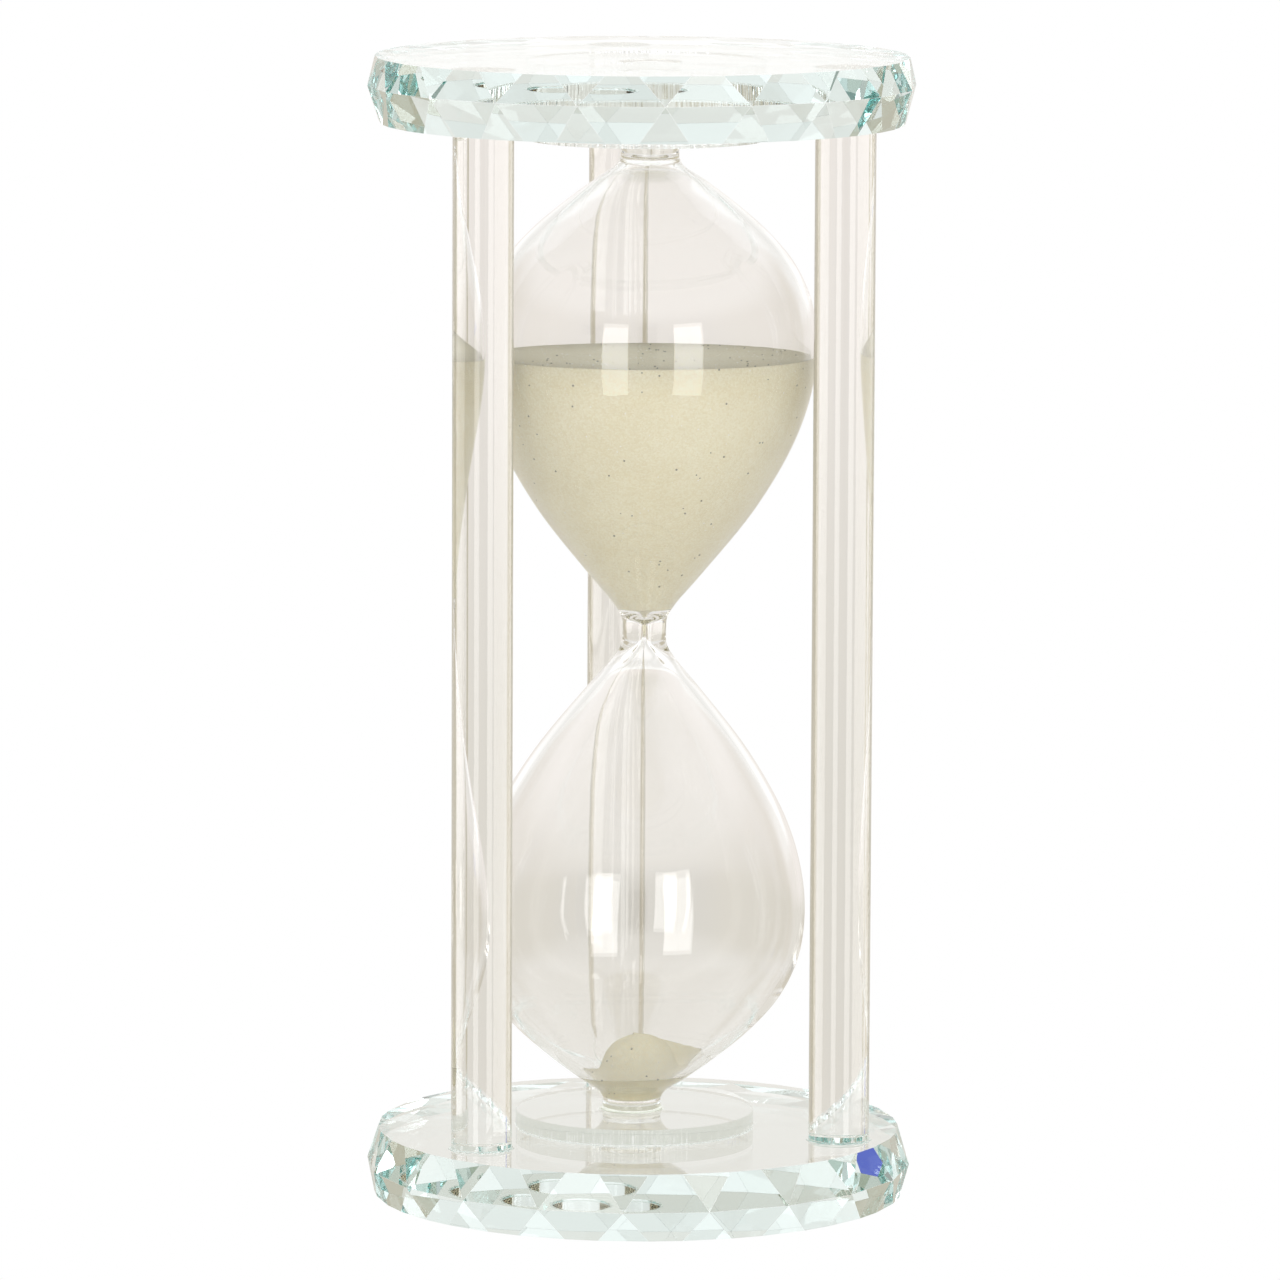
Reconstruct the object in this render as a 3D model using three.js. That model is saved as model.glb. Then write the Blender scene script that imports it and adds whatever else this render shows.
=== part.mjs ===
// A glass hourglass, standing on +Z, with its origin under the middle of its base plate.
// Two thick glass plates with facet-cut rims are held apart by three solid glass rods. Between
// them a one-piece blown glass, two bulbs joined by a narrow neck, is glued by its open tube ends
// to a clear acrylic flange on each plate. Fine sand lies in both bulbs. Glued pieces keep a small
// gap to each other, and the pads, films and seals between them are the cured adhesive.

import * as THREE from 'three';

// Overall sizes, in millimetres.
const overallHeight = 318;
const jointGap = 0.3;

// Plates: a sharp girdle with a short facet band on the outer side and a tall one on the inner side.
const facetCount = 20;
const girdleRadius = 76;
const outerBand = { height: 8.1, faceApothem: 73.7 };
const innerBand = { height: 10.2, faceApothem: 72.6 };
const facetTopHalfWidth = 4.6;
const basePlateTurn = -3;
const topPlateTurn = 4.7;

// Rods: three on one circle, glued slightly off the plates' middle.
const rodRadius = 8.4;
const rodCircleRadius = 57.8;
const rodCircleShift = 2;
const rodPlaces = { back: 98.5, front_right: -21.5, front_left: -141.5 };
const padThickness = 0.8;
const padLip = 0.5;

// Acrylic flanges and the adhesive film behind each.
const flangeRadius = 33.2;
const flangeThickness = 4;
const filmRadius = 30;
const filmThickness = 0.4;
const flangeShift = { lower: -1, upper: 1 };

// Blown glass. Outlines are [distance from the neck, radius], from the neck to the tube end.
const neckHeight = 158;
const neckShift = 1.2;
const bulbLean = { lower: -3, upper: 1 };
const tubeOuterRadius = 8.1;
const tubeInnerRadius = 6.1;
const outerOutline = [
  [0, 6], [3.6, 6.3], [7.2, 8.3], [15.5, 15.3], [34, 30], [52, 40.5], [66, 45.3], [78, 46.9],
  [91, 45.6], [102, 40.9], [111, 33.4], [119, 24.2], [126, 14.9], [129.6, 9.5], [131.8, tubeOuterRadius],
];
const innerBowl = [
  [15.5, 12.2], [34, 27.3], [52, 38.4], [66, 43.6], [78, 45.4],
  [91, 43.9], [102, 38.6], [111, 30.5], [119, 20.8], [126, 11.3], [129.5, 7.2], [131.8, tubeInnerRadius],
];
const upperInnerNeck = [[0, 0.6], [2.2, 0.7], [3, 1.8], [4.2, 3.8], [6, 5.4], [9, 7.4]];
const lowerInnerNeck = [[0, 0.6], [2.2, 0.8], [4.5, 1.9], [7.5, 4.3], [11, 8.2]];

// Sand and tube seals.
const upperSandLevel = 234.4;
const upperSandCrown = 0.8;
const sandThreadReach = 1.5;
const lowerSandRim = 34.4;
const lowerMoundHeight = 10;
const sandGap = 0.4;
const sealPlugDepth = { lower: 2.2, upper: 6 };
const sealFilletWidth = 1.8;
const sealFilletHeight = 1.6;

// Facets per turn of the round pieces.
const bulbSegments = 32;
const rodSegments = 36;
const flangeSegments = 48;
const outlineSteps = 2;

// Heights that follow from the sizes above, counted from the lower resting face.
const plateThickness = outerBand.height + innerBand.height;
const padStart = plateThickness + jointGap;
const rodStart = padStart + padThickness + jointGap;
const flangeStart = plateThickness + jointGap + filmThickness + jointGap;
const sealStart = flangeStart + flangeThickness + jointGap;
const tubeEnd = sealStart + filmThickness + jointGap;

const finishes = {
  plateGlass: { color: 0xdcebe6, roughness: 0.02, metalness: 0, transparent: true, opacity: 0.45 },
  rodGlass: { color: 0xe8e5e0, roughness: 0.02, metalness: 0, transparent: true, opacity: 0.4 },
  blownGlass: { color: 0xece8e2, roughness: 0.02, metalness: 0, transparent: true, opacity: 0.3 },
  acrylic: { color: 0xe6ece8, roughness: 0.05, metalness: 0, transparent: true, opacity: 0.45 },
  adhesive: { color: 0xd9d6b4, roughness: 0.15, metalness: 0, transparent: true, opacity: 0.6 },
  sand: { color: 0xcfc5a2, roughness: 0.95, metalness: 0 },
};

// Turns a lathe or cylinder geometry, made about Y, to stand on Z.
function standUp(geometry) {
  return geometry.rotateX(Math.PI / 2);
}

// Revolves [radius, height] pairs about Z.
function revolve(outline, segments) {
  const points = outline.map(([radius, height]) => new THREE.Vector2(radius, height));
  return standUp(new THREE.LatheGeometry(points, segments));
}

function disc(radius, thickness, segments) {
  return standUp(new THREE.CylinderGeometry(radius, radius, thickness, segments));
}

// Smooth [distance, radius] curve through the given points.
function smoothOutline(points) {
  const corners = points.map(([distance, radius]) => new THREE.Vector3(distance, radius, 0));
  const curve = new THREE.CatmullRomCurve3(corners, false, 'centripetal');
  return curve.getPoints((points.length - 1) * outlineSteps).map((point) => [point.x, point.y]);
}

// Corners of a plate's flat face: two for each facet, where its edge meets the face.
function faceCorners(turn, faceApothem, height) {
  const corners = [];
  for (let facet = 0; facet < facetCount; facet += 1) {
    const angle = THREE.MathUtils.degToRad(turn) + ((facet + 0.5) * 2 * Math.PI) / facetCount;
    const middle = new THREE.Vector3(Math.cos(angle), Math.sin(angle), 0).multiplyScalar(faceApothem);
    const along = new THREE.Vector3(-Math.sin(angle), Math.cos(angle), 0);
    for (const side of [-1, 1]) {
      const corner = middle.clone().addScaledVector(along, side * facetTopHalfWidth);
      corners.push(corner.setZ(height));
    }
  }
  return corners;
}

function girdleCorners(turn, height) {
  return Array.from({ length: facetCount }, (_, facet) => {
    const angle = THREE.MathUtils.degToRad(turn) + (facet * 2 * Math.PI) / facetCount;
    return new THREE.Vector3(girdleRadius * Math.cos(angle), girdleRadius * Math.sin(angle), height);
  });
}

// Triangles of one side of a plate: its flat face and the facets from there to the girdle.
// Flat trapezoids stand on the girdle's sides, and triangles stand on its corners.
function plateSide(girdle, face) {
  const triangles = [];
  for (let corner = 1; corner < face.length - 1; corner += 1) {
    triangles.push([face[0], face[corner], face[corner + 1]]);
  }
  for (let facet = 0; facet < facetCount; facet += 1) {
    const start = girdle[facet];
    const end = girdle[(facet + 1) % facetCount];
    const left = face[2 * facet];
    const right = face[2 * facet + 1];
    const before = face[(2 * facet + face.length - 1) % face.length];
    triangles.push([start, end, right], [start, right, left], [start, left, before]);
  }
  return triangles;
}

// A plate lying with one face at height 0. Its bands are given from that face up.
function facetedPlate(turn, lowerBand, upperBand) {
  const girdle = girdleCorners(turn, lowerBand.height);
  const lowerFace = faceCorners(turn, lowerBand.faceApothem, 0);
  const upperFace = faceCorners(turn, upperBand.faceApothem, lowerBand.height + upperBand.height);
  const lowerSide = plateSide(girdle, lowerFace).map((triangle) => triangle.reverse());
  const corners = [...plateSide(girdle, upperFace), ...lowerSide].flat();
  const geometry = new THREE.BufferGeometry().setFromPoints(corners);
  geometry.computeVertexNormals();
  return geometry;
}

// A pad of cured adhesive under a rod, with a rounded lip standing out past the rod.
function rodPad() {
  const lipRadius = rodRadius + padLip;
  const outline = [
    [0, -padThickness / 2], [rodRadius, -padThickness / 2], [lipRadius, -padThickness / 4],
    [lipRadius, padThickness / 4], [rodRadius, padThickness / 2], [0, padThickness / 2],
  ];
  return revolve(outline, rodSegments);
}

// How far the blown glass stands off the plates' middle at a height: each bulb leans a little.
function glassShift(height) {
  const side = height < neckHeight ? 'lower' : 'upper';
  const reach = side === 'lower' ? neckHeight - tubeEnd : overallHeight - tubeEnd - neckHeight;
  return neckShift + (bulbLean[side] * Math.abs(height - neckHeight)) / reach;
}

function leanWithGlass(geometry) {
  const position = geometry.getAttribute('position');
  for (let vertex = 0; vertex < position.count; vertex += 1) {
    position.setX(vertex, position.getX(vertex) + glassShift(position.getZ(vertex)));
  }
  geometry.computeVertexNormals();
  return geometry;
}

// Changes [distance from the neck, radius] to [radius, height], below or above the neck.
function placeOutline(outline, direction) {
  return outline.map(([distance, radius]) => [radius, neckHeight + direction * distance]);
}

// Inside wall of one bulb, from the neck outwards, as [radius, height].
function insideWall(direction) {
  const neck = direction < 0 ? lowerInnerNeck : upperInnerNeck;
  return placeOutline(smoothOutline([...neck, ...innerBowl]), direction);
}

function outsideWall(direction) {
  return placeOutline(smoothOutline(outerOutline), direction);
}

// The wall runs up the outside from the lower tube end, and down the inside from the upper one.
function blownGlass() {
  const lowerEnd = tubeEnd;
  const upperEnd = overallHeight - tubeEnd;
  const outline = [
    [tubeOuterRadius, lowerEnd], ...outsideWall(-1).reverse(), ...outsideWall(1).slice(1),
    [tubeOuterRadius, upperEnd], [tubeInnerRadius, upperEnd],
    ...insideWall(1).reverse(), ...insideWall(-1).slice(1),
    [tubeInnerRadius, lowerEnd], [tubeOuterRadius, lowerEnd],
  ];
  return leanWithGlass(revolve(outline, bulbSegments));
}

// Inside wall between two heights, drawn in by the gap that the sand keeps to it.
function sandSide(direction, lowest, highest) {
  const wall = insideWall(direction).sort((first, second) => first[1] - second[1]);
  return wall
    .filter(([, height]) => height > lowest && height < highest)
    .map(([radius, height]) => [radius - sandGap, height]);
}

// Radius of the sand against the inside wall at one height.
function sandRadius(direction, height) {
  const wall = insideWall(direction).sort((first, second) => first[1] - second[1]);
  const above = wall.findIndex((point) => point[1] > height);
  const [[lowRadius, low], [highRadius, high]] = [wall[above - 1], wall[above]];
  return THREE.MathUtils.mapLinear(height, low, high, lowRadius, highRadius) - sandGap;
}

// The upper sand fills its bulb to a nearly level top, and reaches down into the neck as a thread.
function upperSand() {
  const threadEnd = neckHeight - sandThreadReach;
  const threadRadius = upperInnerNeck[0][1] - sandGap;
  const side = sandSide(1, neckHeight + 0.1, upperSandLevel - 1);
  const outline = [
    [0, threadEnd], [threadRadius, threadEnd], ...side,
    [sandRadius(1, upperSandLevel), upperSandLevel], [0, upperSandLevel + upperSandCrown],
  ];
  return leanWithGlass(revolve(outline, bulbSegments));
}

// The lower sand stands on the tube seal and is heaped in the middle.
function lowerSand() {
  const floor = sealStart + filmThickness + sealPlugDepth.lower + jointGap;
  const rimRadius = sandRadius(-1, lowerSandRim);
  const mound = new THREE.QuadraticBezierCurve(
    new THREE.Vector2(rimRadius, lowerSandRim),
    new THREE.Vector2(rimRadius / 2, lowerSandRim + lowerMoundHeight),
    new THREE.Vector2(0, lowerSandRim + lowerMoundHeight),
  );
  const outline = [
    [0, floor], [sandRadius(-1, floor), floor], ...sandSide(-1, floor + 0.2, lowerSandRim - 0.4),
    ...mound.getPoints(8).map((point) => [Math.max(point.x, 0), point.y]),
  ];
  return leanWithGlass(revolve(outline, bulbSegments));
}

// Cured adhesive that closes a tube end: a thin disc on the flange, a plug inside the tube and a
// fillet round it. It starts at height 0 on the flange's side.
function tubeSeal(plugDepth) {
  const plugRadius = tubeInnerRadius - jointGap;
  const filletRadius = tubeOuterRadius + jointGap;
  const outline = [
    [0, 0], [filletRadius + sealFilletWidth, 0], [filletRadius + sealFilletWidth, filmThickness / 2],
    [filletRadius + sealFilletWidth / 3, sealFilletHeight / 2], [filletRadius, sealFilletHeight],
    [filletRadius, filmThickness], [plugRadius, filmThickness],
    [plugRadius, filmThickness + plugDepth - jointGap], [0, filmThickness + plugDepth],
  ];
  return revolve(outline, rodSegments);
}

function addPiece(group, name, geometry, finish, [x, y, z] = [0, 0, 0]) {
  const mesh = new THREE.Mesh(geometry, new THREE.MeshStandardMaterial(finishes[finish]));
  mesh.name = name;
  mesh.position.set(x, y, z);
  group.add(mesh);
  return mesh;
}

function buildPlates(group) {
  const topPlace = [0, 0, overallHeight - plateThickness];
  addPiece(group, 'base_plate', facetedPlate(basePlateTurn, outerBand, innerBand), 'plateGlass');
  addPiece(group, 'top_plate', facetedPlate(topPlateTurn, innerBand, outerBand), 'plateGlass', topPlace);
}

function buildRods(group) {
  const rodLength = overallHeight - 2 * rodStart;
  const padMiddle = padStart + padThickness / 2;
  for (const [place, degrees] of Object.entries(rodPlaces)) {
    const angle = THREE.MathUtils.degToRad(degrees);
    const x = rodCircleShift + rodCircleRadius * Math.cos(angle);
    const y = rodCircleRadius * Math.sin(angle);
    const rod = disc(rodRadius, rodLength, rodSegments);
    addPiece(group, `rod_${place}`, rod, 'rodGlass', [x, y, overallHeight / 2]);
    addPiece(group, `lower_pad_${place}`, rodPad(), 'adhesive', [x, y, padMiddle]);
    addPiece(group, `upper_pad_${place}`, rodPad(), 'adhesive', [x, y, overallHeight - padMiddle]);
  }
}

// Flange, film and tube seal of one end. The upper end is the lower one turned over.
function buildEnd(group, end) {
  const place = (height) => (end === 'lower' ? height : overallHeight - height);
  const filmMiddle = place(plateThickness + jointGap + filmThickness / 2);
  const flangeMiddle = place(flangeStart + flangeThickness / 2);
  const film = disc(filmRadius, filmThickness, flangeSegments);
  const flange = disc(flangeRadius, flangeThickness, flangeSegments);
  addPiece(group, `${end}_flange_film`, film, 'adhesive', [flangeShift[end], 0, filmMiddle]);
  addPiece(group, `${end}_flange`, flange, 'acrylic', [flangeShift[end], 0, flangeMiddle]);
  const sealPlace = [glassShift(place(tubeEnd)), 0, place(sealStart)];
  const seal = addPiece(group, `${end}_tube_seal`, tubeSeal(sealPlugDepth[end]), 'adhesive', sealPlace);
  seal.rotation.x = end === 'lower' ? 0 : Math.PI;
}

function buildGlassAndSand(group) {
  addPiece(group, 'glass_bulb', blownGlass(), 'blownGlass');
  addPiece(group, 'upper_sand', upperSand(), 'sand');
  addPiece(group, 'lower_sand', lowerSand(), 'sand');
}

const hourglass = new THREE.Group();
buildPlates(hourglass);
buildRods(hourglass);
buildEnd(hourglass, 'lower');
buildEnd(hourglass, 'upper');
buildGlassAndSand(hourglass);

export default hourglass;
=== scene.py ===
"""Looks of the glass hourglass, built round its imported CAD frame.

Places come from the nodes' boxes, and the shapes that a box can't tell are named sizes of the piece's own
class. Pieces that are glued together reach into each other by a hair, and the faces inside a glued joint
let light straight through, as clear cured adhesive does. The sand reaches into its bulb's wall by a hair
too, so that the wall shows it without a mirror of air between them.
"""

import logging
import math
from dataclasses import dataclass, field
from enum import Enum
from typing import Callable

import bmesh
import bpy
import numpy as np
from mathutils import Matrix, Vector, noise


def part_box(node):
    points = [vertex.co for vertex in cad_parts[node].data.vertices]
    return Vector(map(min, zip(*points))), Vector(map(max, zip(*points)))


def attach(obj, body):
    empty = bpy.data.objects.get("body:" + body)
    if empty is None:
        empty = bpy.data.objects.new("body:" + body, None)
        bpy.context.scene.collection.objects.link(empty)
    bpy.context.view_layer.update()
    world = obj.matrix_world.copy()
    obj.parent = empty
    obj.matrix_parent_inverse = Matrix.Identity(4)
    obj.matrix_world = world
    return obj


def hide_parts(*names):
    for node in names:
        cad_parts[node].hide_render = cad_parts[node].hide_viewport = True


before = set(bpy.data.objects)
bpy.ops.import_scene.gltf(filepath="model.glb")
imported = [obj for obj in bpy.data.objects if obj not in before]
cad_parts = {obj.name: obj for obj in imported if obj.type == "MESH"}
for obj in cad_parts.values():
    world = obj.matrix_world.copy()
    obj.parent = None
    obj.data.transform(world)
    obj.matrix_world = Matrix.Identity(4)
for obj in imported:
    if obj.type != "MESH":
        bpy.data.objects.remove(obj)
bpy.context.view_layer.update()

log = logging.getLogger("hourglass")

MM = 0.001
BOND_REACH = 0.02 * MM
FLANGE_THICKNESS = 4.7 * MM  # the disc and the film under it
TUBE_RADIUS = 8.1 * MM
TUBE_MARGIN = 1.05  # what is within this share of the tube's radius belongs to the tube
FILLET_WIDTH = 1.0 * MM
ARC_STEPS = 8
CLEAR_IOR = 1.52  # shared by all clear materials, so that light isn't turned back at their joints
WHITE = (1.0, 1.0, 1.0)
ALONG_PLATE = (1.0, 1.0, 0.0)  # keeps X and Y and drops Z
BOND_ATTRIBUTE = "bonded"
TONE_ATTRIBUTE = "tone"

Outline = list[tuple[float, float]]
Colour = tuple[float, float, float]
Faces = list[tuple[int, ...]]
Band = tuple[float, float]


class End(Enum):
    """The two ends of the hourglass."""

    LOWER = "lower"
    UPPER = "upper"

    @property
    def inward(self) -> int:
        """Return +1 where the way from the plate to the neck goes up, and -1 where it goes down."""
        return 1 if self is End.LOWER else -1


class Place(Enum):
    """Where each rod stands."""

    FRONT_LEFT = "front_left"
    FRONT_RIGHT = "front_right"
    BACK = "back"


class Slot(Enum):
    """The record's material slots."""

    PLATE_GLASS = "plate_glass"
    ROD_GLASS = "rod_glass"
    BLOWN_GLASS = "blown_glass"
    ACRYLIC = "acrylic"
    ADHESIVE = "adhesive"
    SAND = "sand"


class Joint(Enum):
    """How a finish knows the faces that lie inside a glued joint."""

    PLATE = "plate"
    ROD = "rod"
    FLANGE = "flange"
    MARKED = "marked"


# Layout read from the frame


def middle_of(node: str) -> Vector:
    """Return the middle of a CAD node's box, in metres."""
    low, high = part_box(node)
    return (low + high) / 2


def width_of(node: str) -> float:
    """Return a CAD node's width along X, in metres."""
    low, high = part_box(node)
    return high.x - low.x


@dataclass(frozen=True)
class Layout:
    """Levels and places that several pieces share, in metres."""

    top: float
    plate_thickness: float
    rods: dict[Place, Vector]
    rod_radius: float
    flanges: dict[End, Vector]
    flange_radius: float
    flange_rise: float
    seals: dict[End, Vector]
    seal_radius: float

    @classmethod
    def from_frame(cls) -> "Layout":
        """Read the layout from the CAD nodes' boxes."""
        return cls(
            top=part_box("top_plate")[1].z,
            plate_thickness=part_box("base_plate")[1].z,
            rods={place: middle_of(f"rod_{place.value}") for place in Place},
            rod_radius=width_of("rod_back") / 2,
            flanges={end: middle_of(f"{end.value}_flange") for end in End},
            flange_radius=width_of("lower_flange") / 2,
            flange_rise=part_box("base_plate")[1].z + FLANGE_THICKNESS,
            seals={end: middle_of(f"{end.value}_tube_seal") for end in End},
            seal_radius=TUBE_RADIUS + FILLET_WIDTH,
        )

    @property
    def waist(self) -> float:
        """Return half the overall height."""
        return self.top / 2

    @property
    def plate_reach(self) -> float:
        """Return how far each plate's inner face is from half height."""
        return self.waist - self.plate_thickness

    def level(self, end: End, height: float) -> float:
        """Return the Z of a height that is counted from an end's resting face.

        Args:
            end: The end to count from.
            height: Metres above the base's, or below the top's, outer face.
        """
        return height if end is End.LOWER else self.top - height


# Meshes


def new_piece(name: str, shape: bpy.types.ID) -> bpy.types.Object:
    """Link a mesh, a camera or a lamp to the scene as an object at the origin.

    Args:
        name: The object's name.
        shape: Its mesh, in metres and already in place, or its camera or lamp.

    Returns:
        The new object.
    """
    piece = bpy.data.objects.new(name, shape)
    bpy.context.scene.collection.objects.link(piece)
    return piece


def closed_mesh(name: str, corners: np.ndarray, faces: Faces,
                material: bpy.types.Material | None = None) -> bpy.types.Mesh:
    """Make a closed, smooth-shaded mesh whose faces point outwards.

    Args:
        name: The mesh's name.
        corners: A row of x, y and z in metres for each corner.
        faces: The corner numbers of each face.
        material: Its finish, if no tree sets one later.

    Returns:
        The mesh, with doubled corners merged.
    """
    mesh = bpy.data.meshes.new(name)
    mesh.from_pydata(corners.tolist(), [], faces)
    shell = bmesh.new()
    shell.from_mesh(mesh)
    bmesh.ops.remove_doubles(shell, verts=shell.verts, dist=1e-7)
    bmesh.ops.recalc_face_normals(shell, faces=shell.faces)
    for face in shell.faces:
        face.smooth = True
    shell.to_mesh(mesh)
    shell.free()
    if material:
        mesh.materials.append(material)
    return mesh


def revolve(outline: Outline, segments: int, closed: bool = False) -> tuple[np.ndarray, Faces]:
    """Turn an outline about the Z axis.

    Args:
        outline: Pairs of radius and height in metres.
        segments: Steps in a full turn.
        closed: Whether the outline's last point joins its first.

    Returns:
        Corners, ring after ring, and the faces between the rings.
    """
    rings = np.array(outline, float)
    angles = np.arange(segments) * 2 * math.pi / segments
    corners = np.empty((len(rings), segments, 3))
    corners[..., 0] = rings[:, :1] * np.cos(angles)
    corners[..., 1] = rings[:, :1] * np.sin(angles)
    corners[..., 2] = rings[:, 1:]
    faces = []
    for ring in range(len(rings) if closed else len(rings) - 1):
        here, there = ring * segments, (ring + 1) % len(rings) * segments
        for step in range(segments):
            after = (step + 1) % segments
            faces.append((here + step, here + after, there + after, there + step))
    return corners.reshape(-1, 3), faces


def fillet(radius: float, width: float, foot: float, rise: float) -> Outline:
    """Return the hollow arc of adhesive from a face up a wall.

    Args:
        radius: The wall's radius.
        width: How far the arc spreads on the face.
        foot: The face's level.
        rise: How far the arc climbs, below zero where the way up the wall goes down.

    Returns:
        Pairs of radius and height, from the face to the wall.
    """
    turns = [step / ARC_STEPS * math.pi / 2 for step in range(ARC_STEPS + 1)]
    return [(radius + width * (1 - math.sin(turn)), foot + rise * (1 - math.cos(turn))) for turn in turns]


def smooth_curve(points: Outline, steps: int) -> Outline:
    """Run a centripetal Catmull-Rom curve through points.

    Args:
        points: The points that the curve passes.
        steps: Steps between two points.

    Returns:
        Points along the curve, both ends included.
    """
    knots = np.array(points, float)
    knots = np.vstack([2 * knots[0] - knots[1], knots, 2 * knots[-1] - knots[-2]])
    curve = []
    for start in range(len(knots) - 3):
        p0, p1, p2, p3 = knots[start : start + 4]
        gaps = [math.sqrt(np.linalg.norm(b - a)) for a, b in ((p0, p1), (p1, p2), (p2, p3))]
        t1, t2, t3 = np.cumsum(gaps)
        for t in np.linspace(t1, t2, steps, endpoint=False):
            a1 = ((t1 - t) * p0 + t * p1) / t1
            a2 = ((t2 - t) * p1 + (t - t1) * p2) / (t2 - t1)
            a3 = ((t3 - t) * p2 + (t - t2) * p3) / (t3 - t2)
            b1 = ((t2 - t) * a1 + t * a2) / t2
            b2 = ((t3 - t) * a2 + (t - t1) * a3) / (t3 - t1)
            curve.append(tuple(((t2 - t) * b1 + (t - t1) * b2) / (t2 - t1)))
    curve.append(tuple(knots[-2]))
    return curve


@dataclass(frozen=True)
class Bead:
    """A ring of adhesive that was squeezed out round the foot of a glued piece."""

    width: float
    height: float
    steps: int
    wander: float
    wander_size: float = 1.0 * MM

    def build(self, node: str, layout: Layout, end: End, middle: Vector, radius: float,
              adhesive: bpy.types.Material) -> None:
        """Build the ring on a plate's inner face.

        Args:
            node: The CAD node that it stands for.
            layout: Shared levels.
            end: The plate that it lies on.
            middle: The middle of the glued piece.
            radius: The glued piece's radius.
            adhesive: Its finish.
        """
        face = layout.level(end, layout.plate_thickness)
        buried, rise = face - end.inward * BOND_REACH, end.inward * self.height
        outline = [(radius - BOND_REACH, buried), (radius + self.width, buried)]
        outline += fillet(radius, self.width, face, rise)
        outline.append((radius - BOND_REACH, face + rise))
        corners, faces = revolve(outline, self.steps, closed=True)
        for row in corners:
            reach = math.hypot(row[0], row[1])
            if reach > radius + self.width / 4:
                row[:2] *= 1 + noise.noise(Vector(row) / self.wander_size) * self.wander / reach
        mesh = closed_mesh(f"{node}_bead", corners + (middle.x, middle.y, 0.0), faces, adhesive)
        hand_in(new_piece(mesh.name, mesh), Slot.ADHESIVE, node)


def mark_bonded(mesh: bpy.types.Mesh, inside: Callable[[Vector], bool]) -> None:
    """Mark the faces that lie inside a glued joint.

    Args:
        mesh: The mesh to mark.
        inside: Tells from a face's middle whether it lies in the joint.
    """
    marks = mesh.attributes.new(BOND_ATTRIBUTE, "FLOAT", "FACE")
    marks.data.foreach_set("value", [float(inside(face.center)) for face in mesh.polygons])


def hand_in(piece: bpy.types.Object, slot: Slot, *nodes: str) -> None:
    """Let a piece ride on the one body and stand for its CAD nodes, whose parts it hides.

    Args:
        piece: The finished piece.
        slot: The record's material slot that it takes its finish from; not used.
        *nodes: The CAD nodes that it stands for.
    """
    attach(piece, "root")
    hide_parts(*nodes)
    log.info("%s stands for %s: %d faces", piece.name, ", ".join(nodes), len(piece.data.polygons))


# Node trees


class Tree:
    """Adds nodes to one node tree and joins them."""

    def __init__(self, tree: bpy.types.NodeTree) -> None:
        """Keep the tree that the nodes go into."""
        self.tree = tree

    def add(self, kind: str, inputs: dict | None = None, **settings) -> bpy.types.Node:
        """Add a node.

        Args:
            kind: The node's type name.
            inputs: Values or sockets for its inputs, by name or number.
            **settings: The node's own properties.

        Returns:
            The new node.
        """
        node = self.tree.nodes.new(kind)
        for name, value in settings.items():
            setattr(node, name, value)
        for key, value in (inputs or {}).items():
            self.feed(node.inputs[key], value)
        return node

    def feed(self, socket: bpy.types.NodeSocket, value: object) -> None:
        """Link a socket or a node's first output to an input, or set the input's value."""
        if isinstance(value, bpy.types.NodeSocket):
            self.tree.links.new(value, socket)
        elif isinstance(value, bpy.types.Node):
            self.tree.links.new(value.outputs[0], socket)
        else:
            socket.default_value = value

    def math(self, operation: str, *values: object) -> bpy.types.NodeSocket:
        """Return the result of a Math node on numbers or sockets."""
        return self.add("ShaderNodeMath", dict(enumerate(values)), operation=operation).outputs[0]

    def vector(self, operation: str, *values: object, result: int | str = 0) -> bpy.types.NodeSocket:
        """Return a result of a Vector Math node on vectors or sockets."""
        return self.add("ShaderNodeVectorMath", dict(enumerate(values)), operation=operation).outputs[result]

    def place(self) -> bpy.types.NodeSocket:
        """Return the place on the object, in its own coordinates."""
        return self.add("ShaderNodeTexCoord").outputs["Object"]

    def random(self, low: float, high: float, seed: bpy.types.NodeSocket) -> bpy.types.NodeSocket:
        """Return a random number between two bounds for each instance of a Geometry Nodes tree."""
        span = {2: low, 3: high, "Seed": seed}
        return self.add("FunctionNodeRandomValue", span, data_type="FLOAT").outputs[1]

    def mix(self, amount: object, first: object, second: object) -> bpy.types.NodeSocket:
        """Return a mix of two colours, each a socket or red, green and blue."""
        node = self.add("ShaderNodeMix", {0: amount}, data_type="RGBA")
        for socket, value in ((node.inputs[6], first), (node.inputs[7], second)):
            self.feed(socket, (*value, 1.0) if isinstance(value, tuple) else value)
        return node.outputs[2]

    def socket(self, name: str, kind: str, default: object = None, result: bool = False) -> None:
        """Declare an input or a result of a group.

        Args:
            name: The socket's name.
            kind: Its type, such as Float or Vector.
            default: An input's default value.
            result: Whether it is a result.
        """
        way = "OUTPUT" if result else "INPUT"
        made = self.tree.interface.new_socket(name=name, in_out=way, socket_type=f"NodeSocket{kind}")
        if default is not None:
            made.default_value = default


def new_material(name: str) -> tuple[bpy.types.Material, Tree]:
    """Make a material.

    Args:
        name: The material's name.

    Returns:
        The material and its empty node tree.
    """
    material = bpy.data.materials.new(name)
    material.use_nodes = True
    material.node_tree.nodes.clear()
    return material, Tree(material.node_tree)


def shader_group(name: str, inputs: dict[str, tuple[str, object]], results: dict[str, str]) -> Tree:
    """Start a shader node group.

    Args:
        name: The group's name.
        inputs: Type and default of each input, by name.
        results: Type of each result, by name.

    Returns:
        The group's tree, with its sockets declared.
    """
    tree = Tree(bpy.data.node_groups.new(name, "ShaderNodeTree"))
    for socket, (kind, default) in inputs.items():
        tree.socket(socket, kind, default)
    for socket, kind in results.items():
        tree.socket(socket, kind, result=True)
    return tree


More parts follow.
